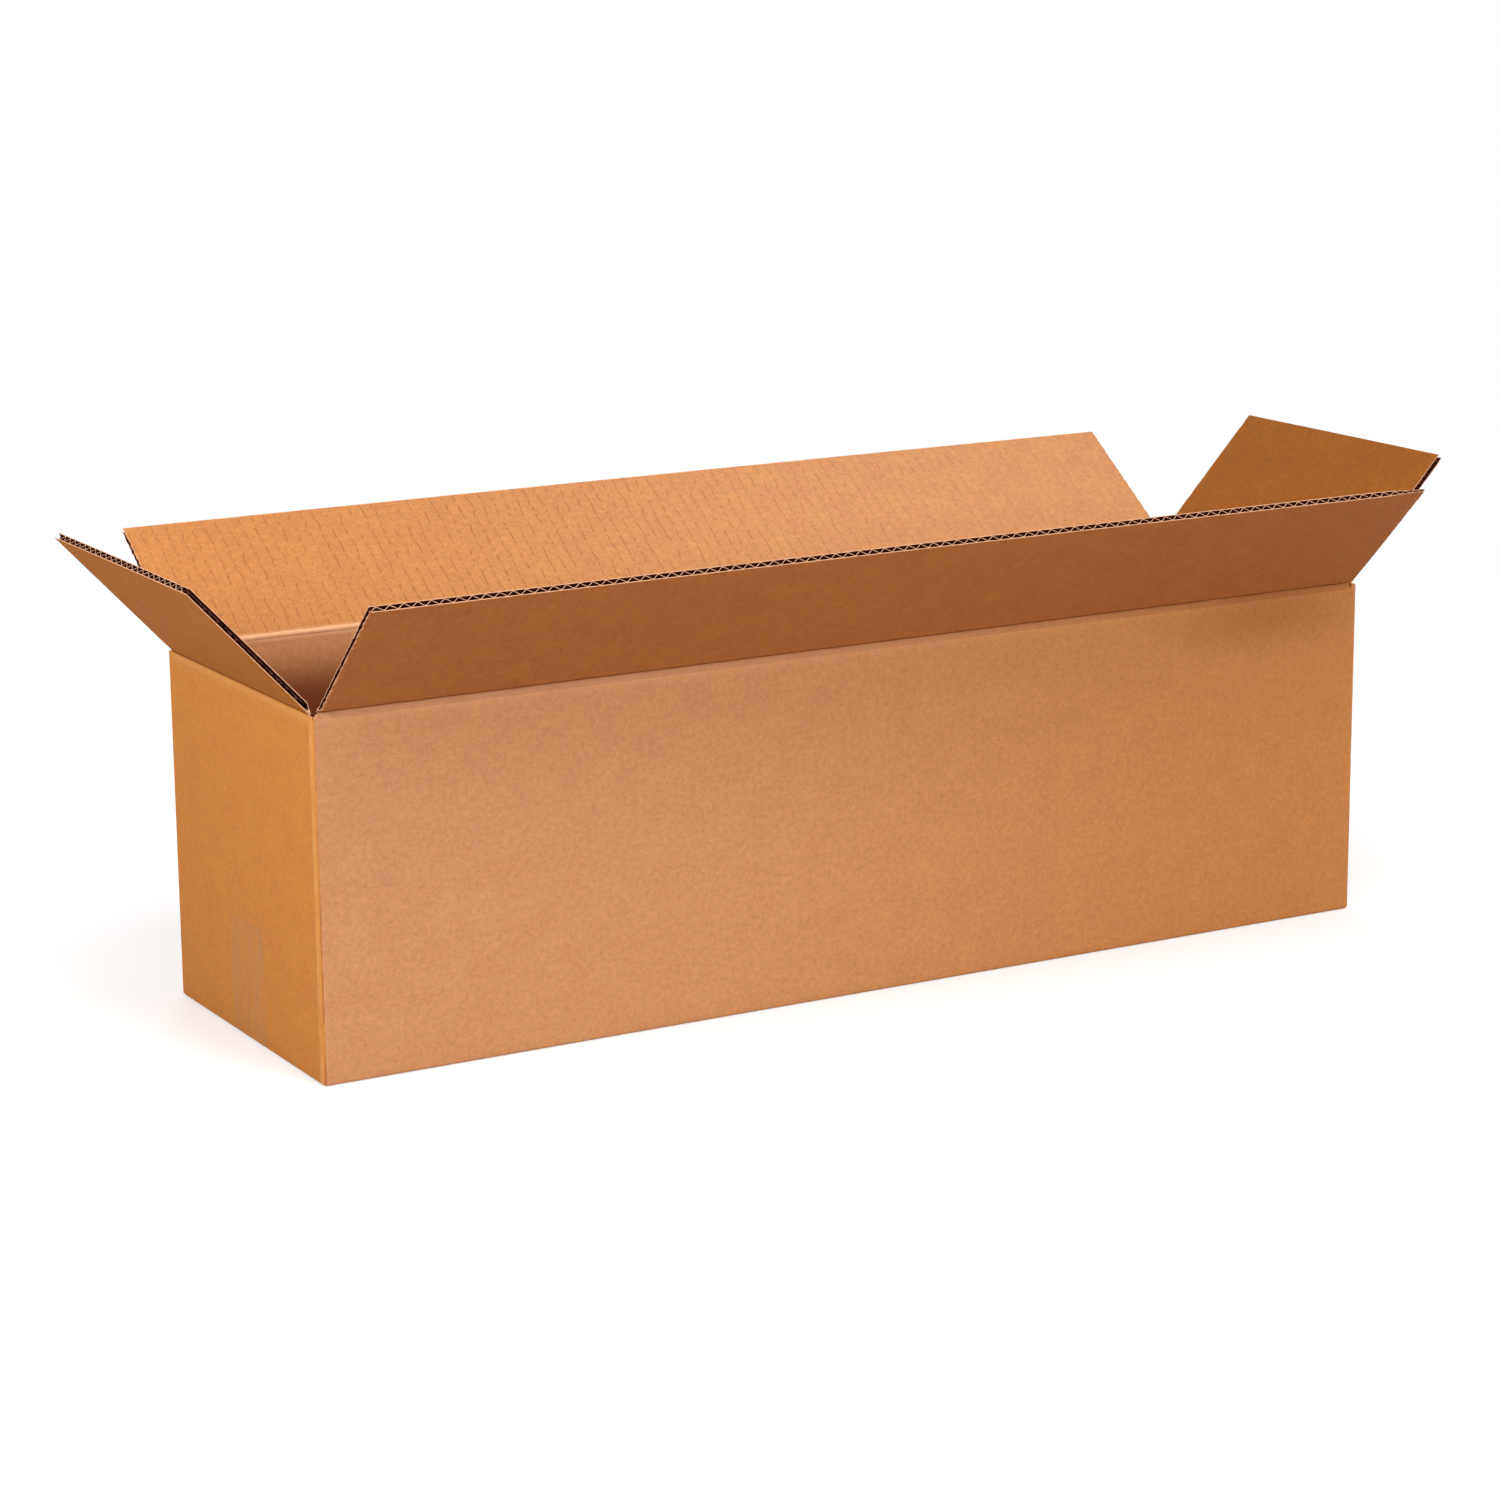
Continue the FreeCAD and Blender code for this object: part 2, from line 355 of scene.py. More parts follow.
# %% Cracked flutes
CRACK_LENGTH = 4.5 * MM
CRACK_WIDTH = 0.09           # in shares of a lane
WANDER = 0.14                # also in shares of a lane
WANDER_SIZE = 14 * MM
CRACKS_FADE = (-0.10, 0.28)  # along the box, in metres
FADED = 0.25                 # share of their strength that is left there
LANE_SHUFFLE = 5.37          # keeps the noise of neighbouring lanes apart


def flute_cracks(add, place, strength):
    """How strongly a crack shows, from 0 to 1."""
    across, up, _ = add("SeparateXYZ", {0: place}).outputs
    wander = pattern(add, place, WANDER_SIZE, WANDER_SIZE, detail=2.0)
    lane = calculate(add, "DIVIDE", across, PITCH)
    shift = remap(add, wander, 0.3, 0.7, -WANDER, WANDER)
    in_lane = calculate(add, "ADD", calculate(add, "FRACT", lane), shift)
    lane_start = calculate(add, "MULTIPLY", calculate(add, "FLOOR", lane), LANE_SHUFFLE)
    along = calculate(add, "DIVIDE", up, CRACK_LENGTH)
    in_lanes = add("CombineXYZ", {"X": lane_start, "Y": along}).outputs[0]
    runs = cloud(add, in_lanes, detail=1.0, roughness=0.6)
    from_middle = calculate(add, "ABSOLUTE", calculate(add, "SUBTRACT", in_lane, 0.5))
    line = remap(add, from_middle, CRACK_WIDTH / 4, CRACK_WIDTH, 1.0, 0.0)
    shown = calculate(add, "MULTIPLY", remap(add, runs, 0.44, 0.52), line)
    return calculate(add, "MULTIPLY", shown, remap(add, across, *CRACKS_FADE, strength, FADED * strength))


# %% Every paper of the box
# One kraft makes the whole box. The darker, more saturated bases of the flap outsides and of the end flap
# insides are painted shade, and the more golden base of the end walls is painted warm light from the left.
FINISHES = {
    "front_wall": ((0.57, 0.253, 0.107), (0.74, 0.40, 0.22), {"specular": 0.15}),
    "end_wall": ((0.61, 0.226, 0.044), (0.78, 0.36, 0.11), {"speckle": 0.17}),
    "inside_wall": ((0.60, 0.28, 0.12), (0.80, 0.43, 0.24), {}),
    "long_flap_outside": ((0.372, 0.128, 0.036), (0.72, 0.37, 0.18), {}),
    "end_flap_outside": ((0.43, 0.146, 0.019), (0.62, 0.27, 0.09), {"specular": 0.05}),
    "long_flap_inside": ((0.60, 0.270, 0.112), (0.84, 0.46, 0.25), {"ribs": 0.5, "cracked": 0.85}),
    "end_flap_inside": ((0.355, 0.116, 0.015), (0.56, 0.23, 0.06),
                        {"specular": 0.05, "ribs": 0.4, "cracked": 0.4}),
    "cut_edge": ((0.70, 0.38, 0.23), (0.72, 0.38, 0.22), {"specular": 0.0, "ribs": 0.0}),
    # The flute paper's near-black base is painted shade inside the flutes; its pale colour is the fresh
    # cut.
    "flute": ((0.085, 0.018, 0.009), (0.66, 0.36, 0.24), {"specular": 0.0, "ribs": 0.0}),
}
papers = {name: kraft("kraft_" + name, base, pale_tone, **settings)
          for name, (base, pale_tone, settings) in FINISHES.items()}
PAPER_ORDER = list(papers)
print("papers", PAPER_ORDER)

# %% [markdown]
# ## Building sheets from grids
#
# Paper is a grid with a little thickness. The helper below collects such grids into one mesh:
# a slab is an upper grid, a lower grid and the rims that join them. The patches are welded at
# the end, so that the result is closed, and edges sharper than a set angle stay crisp.

# %% A collector of grids
SHARP = math.radians(32)
WELD = 0.004 * MM
CLEAN = np.zeros(3)


def together(*parts):
    """Points or marks from their three parts, whatever the shapes of the parts."""
    return np.stack(np.broadcast_arrays(*parts), axis=-1)


def marks(wear_and_highlight=0.0, drift_and_shade=0.0, painted_shade=0.0):
    return together(wear_and_highlight, drift_and_shade, painted_shade)


class Sheets:
    """Grids of points, gathered into one mesh with its papers, its grain and its marks."""

    def __init__(self):
        self.points, self.grain, self.marks, self.quads, self.slots = [], [], [], [], []
        self.count = 0

    def grid(self, points, grain, paper, marked=CLEAN, flip=False):
        """A grid of rows by columns of points. paper is a name, or one name for each column."""
        rows, columns = points.shape[:2]
        ids = np.arange(rows * columns).reshape(rows, columns) + self.count
        corners = (ids[:-1, :-1], ids[:-1, 1:], ids[1:, 1:], ids[1:, :-1])
        quads = np.stack(corners[::-1] if flip else corners, axis=-1)
        if isinstance(paper, str):
            slots = np.full((rows - 1, columns - 1), PAPER_ORDER.index(paper))
        else:
            slots = np.tile([PAPER_ORDER.index(name) for name in paper], (rows - 1, 1))
        self.points.append(points.reshape(-1, 3))
        self.grain.append(grain.reshape(-1, 3))
        self.marks.append(np.broadcast_to(marked, points.shape).reshape(-1, 3))
        self.quads.append(quads.reshape(-1, 4))
        self.slots.append(slots.reshape(-1))
        self.count += rows * columns

    def slab(self, outer, inner, grain, papers_used, marked=(CLEAN, CLEAN), recess=None):
        """A closed sheet between two grids. papers_used names its outside, inside and rim."""
        outside, inside, rim = papers_used
        self.grid(outer, grain, outside, marked[0])
        self.grid(inner, grain + (0, 0, 1), inside, marked[1], flip=True)
        borders = ((0, slice(None), True), (-1, slice(None), False),
                   (slice(None), 0, False), (slice(None), -1, True))
        for number, (row, column, flip) in enumerate(borders):
            push = recess[number] if recess else None
            self.rim(outer[row, column], inner[row, column], grain[row, column], rim, flip, push)

    def rim(self, first, last, grain, paper, flip, push):
        """The strip between two borders. With a push, the middle of the board lies deeper."""
        rows, names = [first, last], [paper]
        if push is not None:
            near = first + (last - first) * LINER / BOARD
            far = last + (first - last) * LINER / BOARD
            rows = [first, near, near + push, far + push, far, last]
            names = [paper, "flute", "flute", "flute", paper]
        for number, name in enumerate(names):
            pair = np.stack(rows[number:number + 2])
            self.grid(pair, np.stack([grain, grain + (0, LINER, 0)]), name, flip=flip)

    def build(self, name):
        """The welded mesh as an object in the scene."""
        mesh = bpy.data.meshes.new(name)
        mesh.from_pydata(np.concatenate(self.points).tolist(), [], np.concatenate(self.quads).tolist())
        mesh.polygons.foreach_set("material_index", np.concatenate(self.slots))
        for paper in PAPER_ORDER:
            mesh.materials.append(papers[paper])
        for title, values in (("grain", self.grain), ("marks", self.marks)):
            attribute = mesh.attributes.new(title, "FLOAT_VECTOR", "POINT")
            attribute.data.foreach_set("vector", np.concatenate(values).ravel())
        work = bmesh.new()
        work.from_mesh(mesh)
        bmesh.ops.remove_doubles(work, verts=work.verts, dist=WELD)
        bmesh.ops.recalc_face_normals(work, faces=work.faces)
        for edge in work.edges:
            edge.smooth = edge.calc_face_angle(0.0) < SHARP
        for face in work.faces:
            face.smooth = True
        work.to_mesh(mesh)
        work.free()
        print(f"{name}: {len(mesh.polygons)} faces")
        return new_object(name, mesh)


def waver(points, size, seed):
    """Smooth noise from -1 to 1 at each point, for bows and ragged edges."""
    flat = points.reshape(-1, 3) / size + seed
    return np.array([noise.noise(p) for p in flat]).reshape(points.shape[:-1])


def run_along(line):
    """How far along a line each of its points lies."""
    return np.concatenate([[0], np.cumsum(np.linalg.norm(np.diff(line, axis=0), axis=1))])


def smooth_step(value, low, high):
    """0 up to low, 1 from high on, and a soft change between them."""
    share = np.clip((value - low) / (high - low), 0, 1)
    return share * share * (3 - 2 * share)


# %% [markdown]
# ## The four open flaps
#
# A flap is three sheets: the outer liner, the inner liner and the medium. Near the crease the
# press has crushed them together, on the outer side of the long flaps and on the inner side of
# the end flaps, so the liners close up there. The side edges of the long flaps are ragged, and
# pinched together by the knife. A solid slab with a picture of flutes on its edge would be
# quicker, but the edge is what the eye goes to, so the waves are real.

# %% Form of a flap
FINE_STEP = 0.75 * MM
ROW_STEP = 1.4 * MM
BORDER = 0.9 * MM            # width of the rubbed line along a cut edge
BOW = 0.5 * MM
CRUSHED_CORNER = "front_flap"            # the flap whose right corner was knocked
CORNER_REACH = 34 * MM
CORNER_SQUEEZE = 0.6
CORNER_LEVEL = 0.4 * BOARD   # the depth that the knocked corner closes towards


def crush(u, reach=REACH):
    """How far a crushed liner has moved in at u, from 1 at the crease to 0 past the band."""
    return 1 - np.clip(np.abs(u) / reach, 0, 1)


def settle(crease, s, u, d):
    """The depth d after the flap has bowed a little, and after its corner was knocked."""
    share = np.clip(u / crease.length, 0, 1)
    if crease.flap == CRUSHED_CORNER:
        near = smooth_step(s, crease.half_width - CORNER_REACH, crease.half_width - 4 * MM)
        squeeze = CORNER_SQUEEZE * near * smooth_step(share, 0.3, 1.0)
        d = d + (CORNER_LEVEL - d) * squeeze
    size = BOW if crease.is_long else 0.3 * BOW
    return d + size * share ** 2 * np.cos(s / crease.half_width * math.pi / 2)


def liner_depths(crease, u):
    """Depth of the outer face and of the inner face of the board at u."""
    crushed = (BOARD - WEB) * crush(u)
    if crease.is_long:
        return crushed, BOARD + 0 * u
    return 0 * u, BOARD - crushed


RAGGED = {True: 0.75 * MM, False: 0.45 * MM}     # by whether the crease is a long one
TIP_RAGGED = 0.2 * MM


def torn_back(crease, s, u, seed):
    """Moves the two side edges and the tip in by a torn, uneven amount."""
    ragged = RAGGED[crease.is_long]
    spots = together(0.2 * s, u, 0)
    torn = smooth_step(waver(spots, 3.1 * MM, seed) + 0.4 * waver(spots, 1.1 * MM, seed), -0.2, 0.7)
    side = np.isclose(np.abs(s), crease.half_width)
    tip_torn = 0.5 + 0.5 * waver(together(s, 0, 0), 11 * MM, seed)
    tip = np.isclose(u, crease.length)
    return np.where(side, s - np.sign(s) * ragged * torn, s), np.where(tip, u - TIP_RAGGED * tip_torn, u)


print("corner of", CRUSHED_CORNER, "knocked over", round(CORNER_REACH / MM), "mm")


# %% The two liners of a flap
def flap_grid(crease):
    """Places s and u on a flap, closer together in the crushed band and at the borders."""
    fine = np.arange(0, REACH + FINE_STEP, FINE_STEP)
    flat = crease.length - BORDER - fine[-1]
    wide = np.linspace(fine[-1] + ROW_STEP, crease.length - BORDER, round(flat / ROW_STEP))
    rows = np.concatenate([fine, wide, [crease.length]])
    inner = crease.half_width - BORDER
    line = np.linspace(-inner, inner, round(2 * inner / PITCH))
    return np.meshgrid(np.concatenate([[-crease.half_width], line, [crease.half_width]]), rows)


BORDER_WEAR = 0.75
# The band below is a painted highlight on the inner liner beside the crease.
BAND_HIGHLIGHT = 0.7              # on the inner liner beside the crease
INSIDE_DRIFT = 0.85          # strongest at the left end of the box
# Painted shade on the flap outsides: all over, as a dark line at the crease, and growing towards the
# right.
OUTSIDE_SHADE = 0.3
CREASE_LINE_SHADE = 0.5
RIGHT_SHADE = 0.14


def flap_marks(crease, s, u, facing_out):
    """Rubbed borders, a painted highlight band or a painted shade line at the crease, and darker, more
    orange tones along a long flap, painted shade on its outside.
    """
    side = np.abs(s) > crease.half_width - 0.5 * BORDER
    tip = u > crease.length - 0.5 * BORDER
    wear_and_highlight = np.where(side | tip, BORDER_WEAR, 0.0)
    toward_right = s * crease.along[0] / crease.half_width
    if not facing_out:
        drift_and_shade = INSIDE_DRIFT * smooth_step(-toward_right, -0.6, 1.0)
        return marks(np.maximum(wear_and_highlight, BAND_HIGHLIGHT * crush(1.2 * u)), drift_and_shade)
    painted_shade = CREASE_LINE_SHADE * crush(2.0 * u) + RIGHT_SHADE * smooth_step(toward_right, -0.1, 1.0)
    return marks(wear_and_highlight, OUTSIDE_SHADE, painted_shade)


PINCH = 1.1 * MM             # how far the outer liner is pressed in at a ragged edge
INNER_PINCH = 0.33 * MM      # and how far the inner one


def frayed(crease, s, u):
    """How ragged the side edges of a long flap are, about 0.2 to 1.2 there and 0 elsewhere."""
    if not crease.is_long:
        return 0 * s
    side = np.isclose(np.abs(s), crease.half_width)
    return np.where(side, 0.7 + 0.5 * waver(together(0, u, 0), 4 * MM, 6.0), 0.0)


def flap_liners(sheets, crease, outside, inside):
    """The two flat papers of a flap, each a thin slab of its own."""
    s, u = flap_grid(crease)
    outer, inner = liner_depths(crease, u)
    grain = together(s * crease.along.sum(), u, 3 * crease.lean)
    ragged = frayed(crease, s, u)
    fluted = marks(ragged)
    pressed = ragged * (1 - crush(u))
    outer = outer + PINCH * pressed
    inner = inner - INNER_PINCH * pressed
    outer_marks = (flap_marks(crease, s, u, True), fluted)
    inner_marks = (fluted, flap_marks(crease, s, u, False))
    for first, last, names, marked, seed in (
            (outer, outer + LINER, (outside, "flute", "cut_edge"), outer_marks, 1.0),
            (inner - LINER, inner, ("flute", inside, "cut_edge"), inner_marks, 8.0)):
        torn_s, torn_u = torn_back(crease, s, u, seed)
        upper = crease.place(torn_s, torn_u, settle(crease, s, u, first), crease.lean)
        lower = crease.place(torn_s, torn_u, settle(crease, s, u, last), crease.lean)
        sheets.slab(upper, lower, grain, names, marked)


print("liner grid", flap_grid(creases["front_flap"])[0].shape, "on a long flap")

# %% [markdown]
# The medium is a wave drawn along the crease and swept up the flap. Its legs are nearly
# straight, so the openings look like triangles. It stops short of the crushed band. Its cut
# edge is pale where the knife went through, and a little further in it is painted near-black,
# as shade inside the flutes. At the two side edges the cut runs along a flute, and there the
# medium is torn.

# %% The wavy medium
WAVE_STEPS = 16
WAVE_START = REACH + 1.2 * MM
WAVE_GAP = 0.02 * MM
CUT_DEPTH = 0.8 * MM
TEAR = {True: 0.7 * MM, False: 2.2 * MM}     # these too go by whether the crease is a long one
EDGE_WEAR = {True: 1.0, False: 0.1}
EDGE_PAPER = {True: "cut_edge", False: "flute"}
SIDE_GAP = {True: 1.3 * MM, False: 0.35 * MM}
TIP_GAP = 0.35 * MM
SET_BACK = 0.15 * MM         # how far the wave stops short of the cut, more or less
CUT_WEAR = 0.75
TORN_STRETCH = 0.75 * PITCH
TORN_ROWS = 100
WAVE_SHIFT = {True: 0.16, False: 0.0}    # in waves
ROUNDNESS = 0.96             # 1 gives a sharp triangle wave


def medium_depth(crease, s):
    """Depth of the middle of the wave at s: a triangle wave with round tops."""
    swing = (BOARD - 2 * LINER - MEDIUM) / 2 - WAVE_GAP
    wave = np.cos(2 * math.pi * (s / PITCH + WAVE_SHIFT[crease.is_long]))
    return BOARD / 2 + swing * np.arcsin(ROUNDNESS * wave) / math.asin(ROUNDNESS)


def wave_sheet(sheets, crease, s, u, wear_and_highlight, rim="cut_edge"):
    """One stretch of medium over that grid of s and u."""
    step = 0.02 * MM
    slope = (medium_depth(crease, s + step) - medium_depth(crease, s - step)) / (2 * step)
    half = MEDIUM / 2 * np.sqrt(1 + slope ** 2)
    middle = medium_depth(crease, s)
    grain = together(s, u, 7)
    upper = crease.place(s, u, settle(crease, s, u, middle - half), crease.lean)
    lower = crease.place(s, u, settle(crease, s, u, middle + half), crease.lean)
    sheets.slab(upper, lower, grain, ("flute", "flute", rim), (marks(wear_and_highlight), marks(wear_and_highlight)))


def flap_medium(sheets, crease):
    """The wave between the liners: one long stretch, and a torn one at each side edge."""
    length = crease.length
    edge = crease.half_width - SIDE_GAP[crease.is_long]
    inner_edge = edge - TORN_STRETCH
    line = np.linspace(-inner_edge, inner_edge, round(2 * inner_edge / PITCH * WAVE_STEPS))
    s, u = np.meshgrid(line, [WAVE_START, length - CUT_DEPTH, length])
    set_back = SET_BACK * (1 + waver(together(s, 0, 0), 5 * MM, 3.0))
    wear_and_highlight = np.where(u == length, CUT_WEAR, 0.0)
    wave_sheet(sheets, crease, s, np.where(u == length, u - set_back, u), wear_and_highlight)
    for side in (-1, 1):
        line = np.linspace(inner_edge, edge, WAVE_STEPS)[::side] * side
        s, u = np.meshgrid(line, np.linspace(WAVE_START, length - TIP_GAP, TORN_ROWS))
        torn = smooth_step(waver(together(0, u, 0), 2.6 * MM, side * 4.0), -0.5, 0.5)
        share = smooth_step(np.abs(s), inner_edge, edge)
        torn_s = s - side * TEAR[crease.is_long] * torn * share
        wear_and_highlight = EDGE_WEAR[crease.is_long] * share * (1 - 0.5 * torn)
        wave_sheet(sheets, crease, torn_s, u, wear_and_highlight, EDGE_PAPER[crease.is_long])


print("waves on a long flap", round(2 * creases["front_flap"].half_width / PITCH, 1))

# %% Make the four flaps
FLAP_PAPERS = {
    "front_flap": ("long_flap_outside", "long_flap_inside"),
    "back_flap": ("long_flap_outside", "long_flap_inside"),
    "left_flap": ("end_flap_outside", "end_flap_inside"),
    "right_flap": ("end_flap_outside", "end_flap_inside"),
}


def make_flap(name):
    crease = creases[name]
    sheets = Sheets()
    flap_liners(sheets, crease, *FLAP_PAPERS[name])
    flap_medium(sheets, crease)
    board = sheets.build(name + "_board")
    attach(board, name)
    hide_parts(name)
    return board


flap_boards = [make_flap(name) for name in FLAP_PAPERS]
print("flaps", [board.name for board in flap_boards])

# %% [markdown]
# ## The walls
#
# The four walls are one strip of board. It starts at the cut edge of the left end wall, goes
# round three folds, and ends in the glue tab, which turns the last corner inside the first
# wall. Drawing that line in plan and sweeping it upwards gives walls, folds and tab in one
# go, the way the sheet itself makes them.

# %% The strip in plan
JOINT_GAP = 1.0 * MM
TAB = 32 * MM
TAB_GAP = 0.05 * MM
WALL_STEP = 6 * MM
ARC_STEPS = 8
SLOT_END = (BOARD + SLOT) / 2
NICK = 0.5 * MM
NICK_DEPTH = 3.3 * MM
TAB_PANEL = 4
TAB_FOLD = 3.5               # a fold has the number between those of its two panels


def plan_corners(inset, tab_x):
    """Corners of the strip's line at that depth from the outer face."""
    x = HALF_LENGTH - inset
    y = HALF_WIDTH - inset
    tab_end = HALF_WIDTH - BOARD - TAB
    return [(-x, HALF_WIDTH - JOINT_GAP), (-x, -y), (x, -y), (x, y), (tab_x, y), (tab_x, tab_end)]


def fold_arc(before, corner, after, radius):
    """The round of a fold between two straight stretches."""
    before, corner, after = (np.array(p) for p in (before, corner, after))
    back = (before - corner) / np.linalg.norm(before - corner)
    on = (after - corner) / np.linalg.norm(after - corner)
    centre = corner + (back + on) * radius
    turn = np.linspace(0, math.pi / 2, ARC_STEPS + 1)[:, None]
    return centre - on * radius * np.cos(turn) - back * radius * np.sin(turn)


def plan_pieces(corners, radius):
    """The straight stretches of the strip, and the points of the arcs between them."""
    arcs = [fold_arc(*corners[n:n + 3], radius) for n in range(TAB_PANEL)]
    starts = [np.array(corners[0])] + [arc[-1] for arc in arcs]
    stops = [arc[0] for arc in arcs] + [np.array(corners[-1])]
    return list(zip(starts, stops)), [arc[1:-1] for arc in arcs]


def nearest(points, start, stop):
    """The nearest places to those points on a straight stretch."""
    run = stop - start
    share = np.clip((points - start) @ run / (run @ run), 0, 1)
    return start + share[:, None] * run


print("corners of the strip", len(plan_corners(0, 0)))

# %% [markdown]
# Along its top the strip changes from place to place. Under a flap it thins to the crushed
# web. Between two flaps it is cut square, and at each folded corner the cut runs on a little
# way down as a short tear. The tab and its fold are cut lower, clear of the back flap. Each
# column of the sweep is told which of these it is. A whole panel number means a wall or the
# tab, and a half means the fold after it.

# %% Columns of the strip
PALE_LINE_WIDTH = 3.5 * MM      # of the pale line beside a vertical fold
PAIR_GAP = 0.02 * MM         # half the space of two columns at a sudden change


def stretch_places(length, changes):
    """Even places along a stretch, with a close pair at each sudden change."""
    places = list(np.linspace(0, length, max(2, round(length / WALL_STEP)) + 1))
    places += [PALE_LINE_WIDTH, length - PALE_LINE_WIDTH]
    for change in changes:
        places += [change - PAIR_GAP, change + PAIR_GAP]
    return np.array(sorted(places))


outer_corners = plan_corners(0, -HALF_LENGTH + BOARD + TAB_GAP)
inner_corners = plan_corners(BOARD, -HALF_LENGTH + 2 * BOARD + TAB_GAP)
outer_straights, outer_arcs = plan_pieces(outer_corners, FOLD)
inner_straights, inner_arcs = plan_pieces(inner_corners, FOLD_INSIDE)
scored_inset = SLOT_END - CLEAR
outer_line, inner_line, panels, fold_share = [], [], [], []
for number, (start, stop) in enumerate(outer_straights):
    length = np.linalg.norm(stop - start)
    changes = [scored_inset - (FOLD if number else JOINT_GAP), length + FOLD - scored_inset]
    places = stretch_places(length, changes if number < TAB_PANEL else [])
    flat = start + (stop - start) * places[:, None] / length
    outer_line.append(flat)
    inner_line.append(nearest(flat, *inner_straights[number]))
    panels += [number] * len(places)
    fold_share += [0.0] * len(places)
    if number < TAB_PANEL:
        outer_line.append(outer_arcs[number])
        inner_line.append(inner_arcs[number])
        panels += [number + 0.5] * (ARC_STEPS - 1)
        fold_share += [step / ARC_STEPS for step in range(1, ARC_STEPS)]
outer_line = np.concatenate(outer_line)
inner_line = np.concatenate(inner_line)
panels = np.array(panels)
fold_share = np.array(fold_share)
is_fold = panels % 1 > 0
print("strip of", len(outer_line), "columns")

# %% Heights and thickness of each column
LONG_TOP = float(creases["front_flap"].pivot[2]) - WALL_DROP
END_TOP = float(creases["left_flap"].pivot[2]) - WALL_DROP
END_WALLS = (0, 2)
LONG_WALLS = (1, 3)
FOOT_ROWS = 6
BAND_ROWS = 9
MIDDLE_ROWS = 44


def column_top(point, panel):
    """Top of the wall at that column."""
    if panel == TAB_PANEL:
        return END_TOP - 2 * REACH
    if panel == TAB_FOLD:
        return min(END_TOP, LONG_TOP - REACH)
    if panel % 1:
        from_corner = abs(abs(point[0]) - HALF_LENGTH) - abs(abs(point[1]) - HALF_WIDTH)
        nicked = abs(from_corner) < NICK and panel < 3
        return END_TOP - NICK_DEPTH if nicked else END_TOP
    return END_TOP if panel in END_WALLS else LONG_TOP


def under_flap(point, panel):
    """Whether the column stands under the crushed crease of a flap."""
    if panel in END_WALLS:
        return abs(point[1]) < HALF_WIDTH - scored_inset
    return panel in LONG_WALLS and abs(point[0]) < HALF_LENGTH - scored_inset


tops = np.array([column_top(p, n) for p, n in zip(outer_line, panels)])
scored = np.array([under_flap(p, n) for p, n in zip(outer_line, panels)])
print("scored columns", int(scored.sum()), "of", len(scored))

# %% Sweep the strip
SWELL = 0.45 * MM


def strip_heights():
    """Heights of the grid's points: the rounded foot, the wall and the crushed band."""
    foot = np.linspace(0, 1, FOOT_ROWS)
    band = np.linspace(0, 1, BAND_ROWS)
    middle = np.linspace(0, 1, MIDDLE_ROWS + 1)[1:-1]
    band_foot = tops - REACH
    rows = [np.outer(foot ** 2, np.full(len(tops), FOLD)),
            FOLD + np.outer(middle, band_foot - FOLD),
            band_foot + np.outer(band, tops - band_foot)]
    return np.concatenate(rows)


def wall_swell(points):
    """How far a wall leans in at its middle: board is never quite flat."""
    x, y, z = points[..., 0], points[..., 1], points[..., 2]
    along = np.where(HALF_LENGTH - np.abs(x) < HALF_WIDTH - np.abs(y), y / HALF_WIDTH, x / HALF_LENGTH)
    middle = (1 - along ** 2) * smooth_step(z, 0, 40 * MM) * smooth_step(LONG_TOP - z, 0, 40 * MM)
    return SWELL * middle * (0.6 + 0.8 * waver(points, 110 * MM, 2.0))


def strip_grids():
    z = strip_heights()
    toward = inner_line - outer_line
    toward = toward / np.abs(toward).max(axis=1, keepdims=True)
    crushed = (BOARD - WEB) * crush(tops - z, REACH - WALL_DROP) * scored
    is_long = np.isin(panels, LONG_WALLS)
    under = np.clip(FOLD - z, 0, FOLD)
    round_foot = (FOLD - np.sqrt(FOLD ** 2 - under ** 2)) * (panels != TAB_PANEL)
    outer_in = np.where(is_long, crushed, 0) + round_foot
    inner_in = np.where(is_long, 0, crushed)
    outer_xy = outer_line[None] + toward[None] * outer_in[..., None]
    inner_xy = inner_line[None] - toward[None] * inner_in[..., None]
    outer = np.concatenate([outer_xy, z[..., None]], axis=-1)
    inner = np.concatenate([inner_xy, z[..., None]], axis=-1)
    swell = (wall_swell(outer) * (panels < TAB_PANEL) * ~is_fold)[..., None]
    run = run_along(outer_line)
    grain = together(run, z, 0)
    outer[..., :2] += toward * swell
    inner[..., :2] += toward * swell
    return outer, inner, grain


strip_outer, strip_inner, strip_grain = strip_grids()
print("strip of", strip_outer.shape[0], "rows")

# %% [markdown]
# The walls carry most of the marks. Each vertical fold has a pale line along its end wall, partly
# wear and partly painted highlight, and a thin dark line of painted shade at the turn. The crushed
# bands under the creases are painted paler, as a highlight. The long walls are painted darker and
# more orange towards their right end and a little darker towards the top, as shade, and a painted
# shadow of the front flap lies below the front crease at the right. Inside, painted shade darkens
# the walls with depth, because less light gets down there than the lamps of this plain studio would send.

# %% Marks on the walls
# A painted shadow of the front flap on the front wall, and painted shade towards the top of the long
# walls.
FLAP_SHADOW_PLACE = (0.285, 0.203)            # x and z of its middle on the front wall
FLAP_SHADOW_SIZE = (62 * MM, 20 * MM)
FLAP_SHADOW = 0.30
TOP_SHADE = 0.07
CREASE_HIGHLIGHT = {True: 0.6, False: 0.45}   # by whether the wall is a long one
HIGHLIGHT_BAND_HEIGHT = 5.5 * MM
TURN_SHADE = 0.75
INSIDE_SHADE = 0.90
RIM_HIGHLIGHT = 0.8               # inside, along the crease


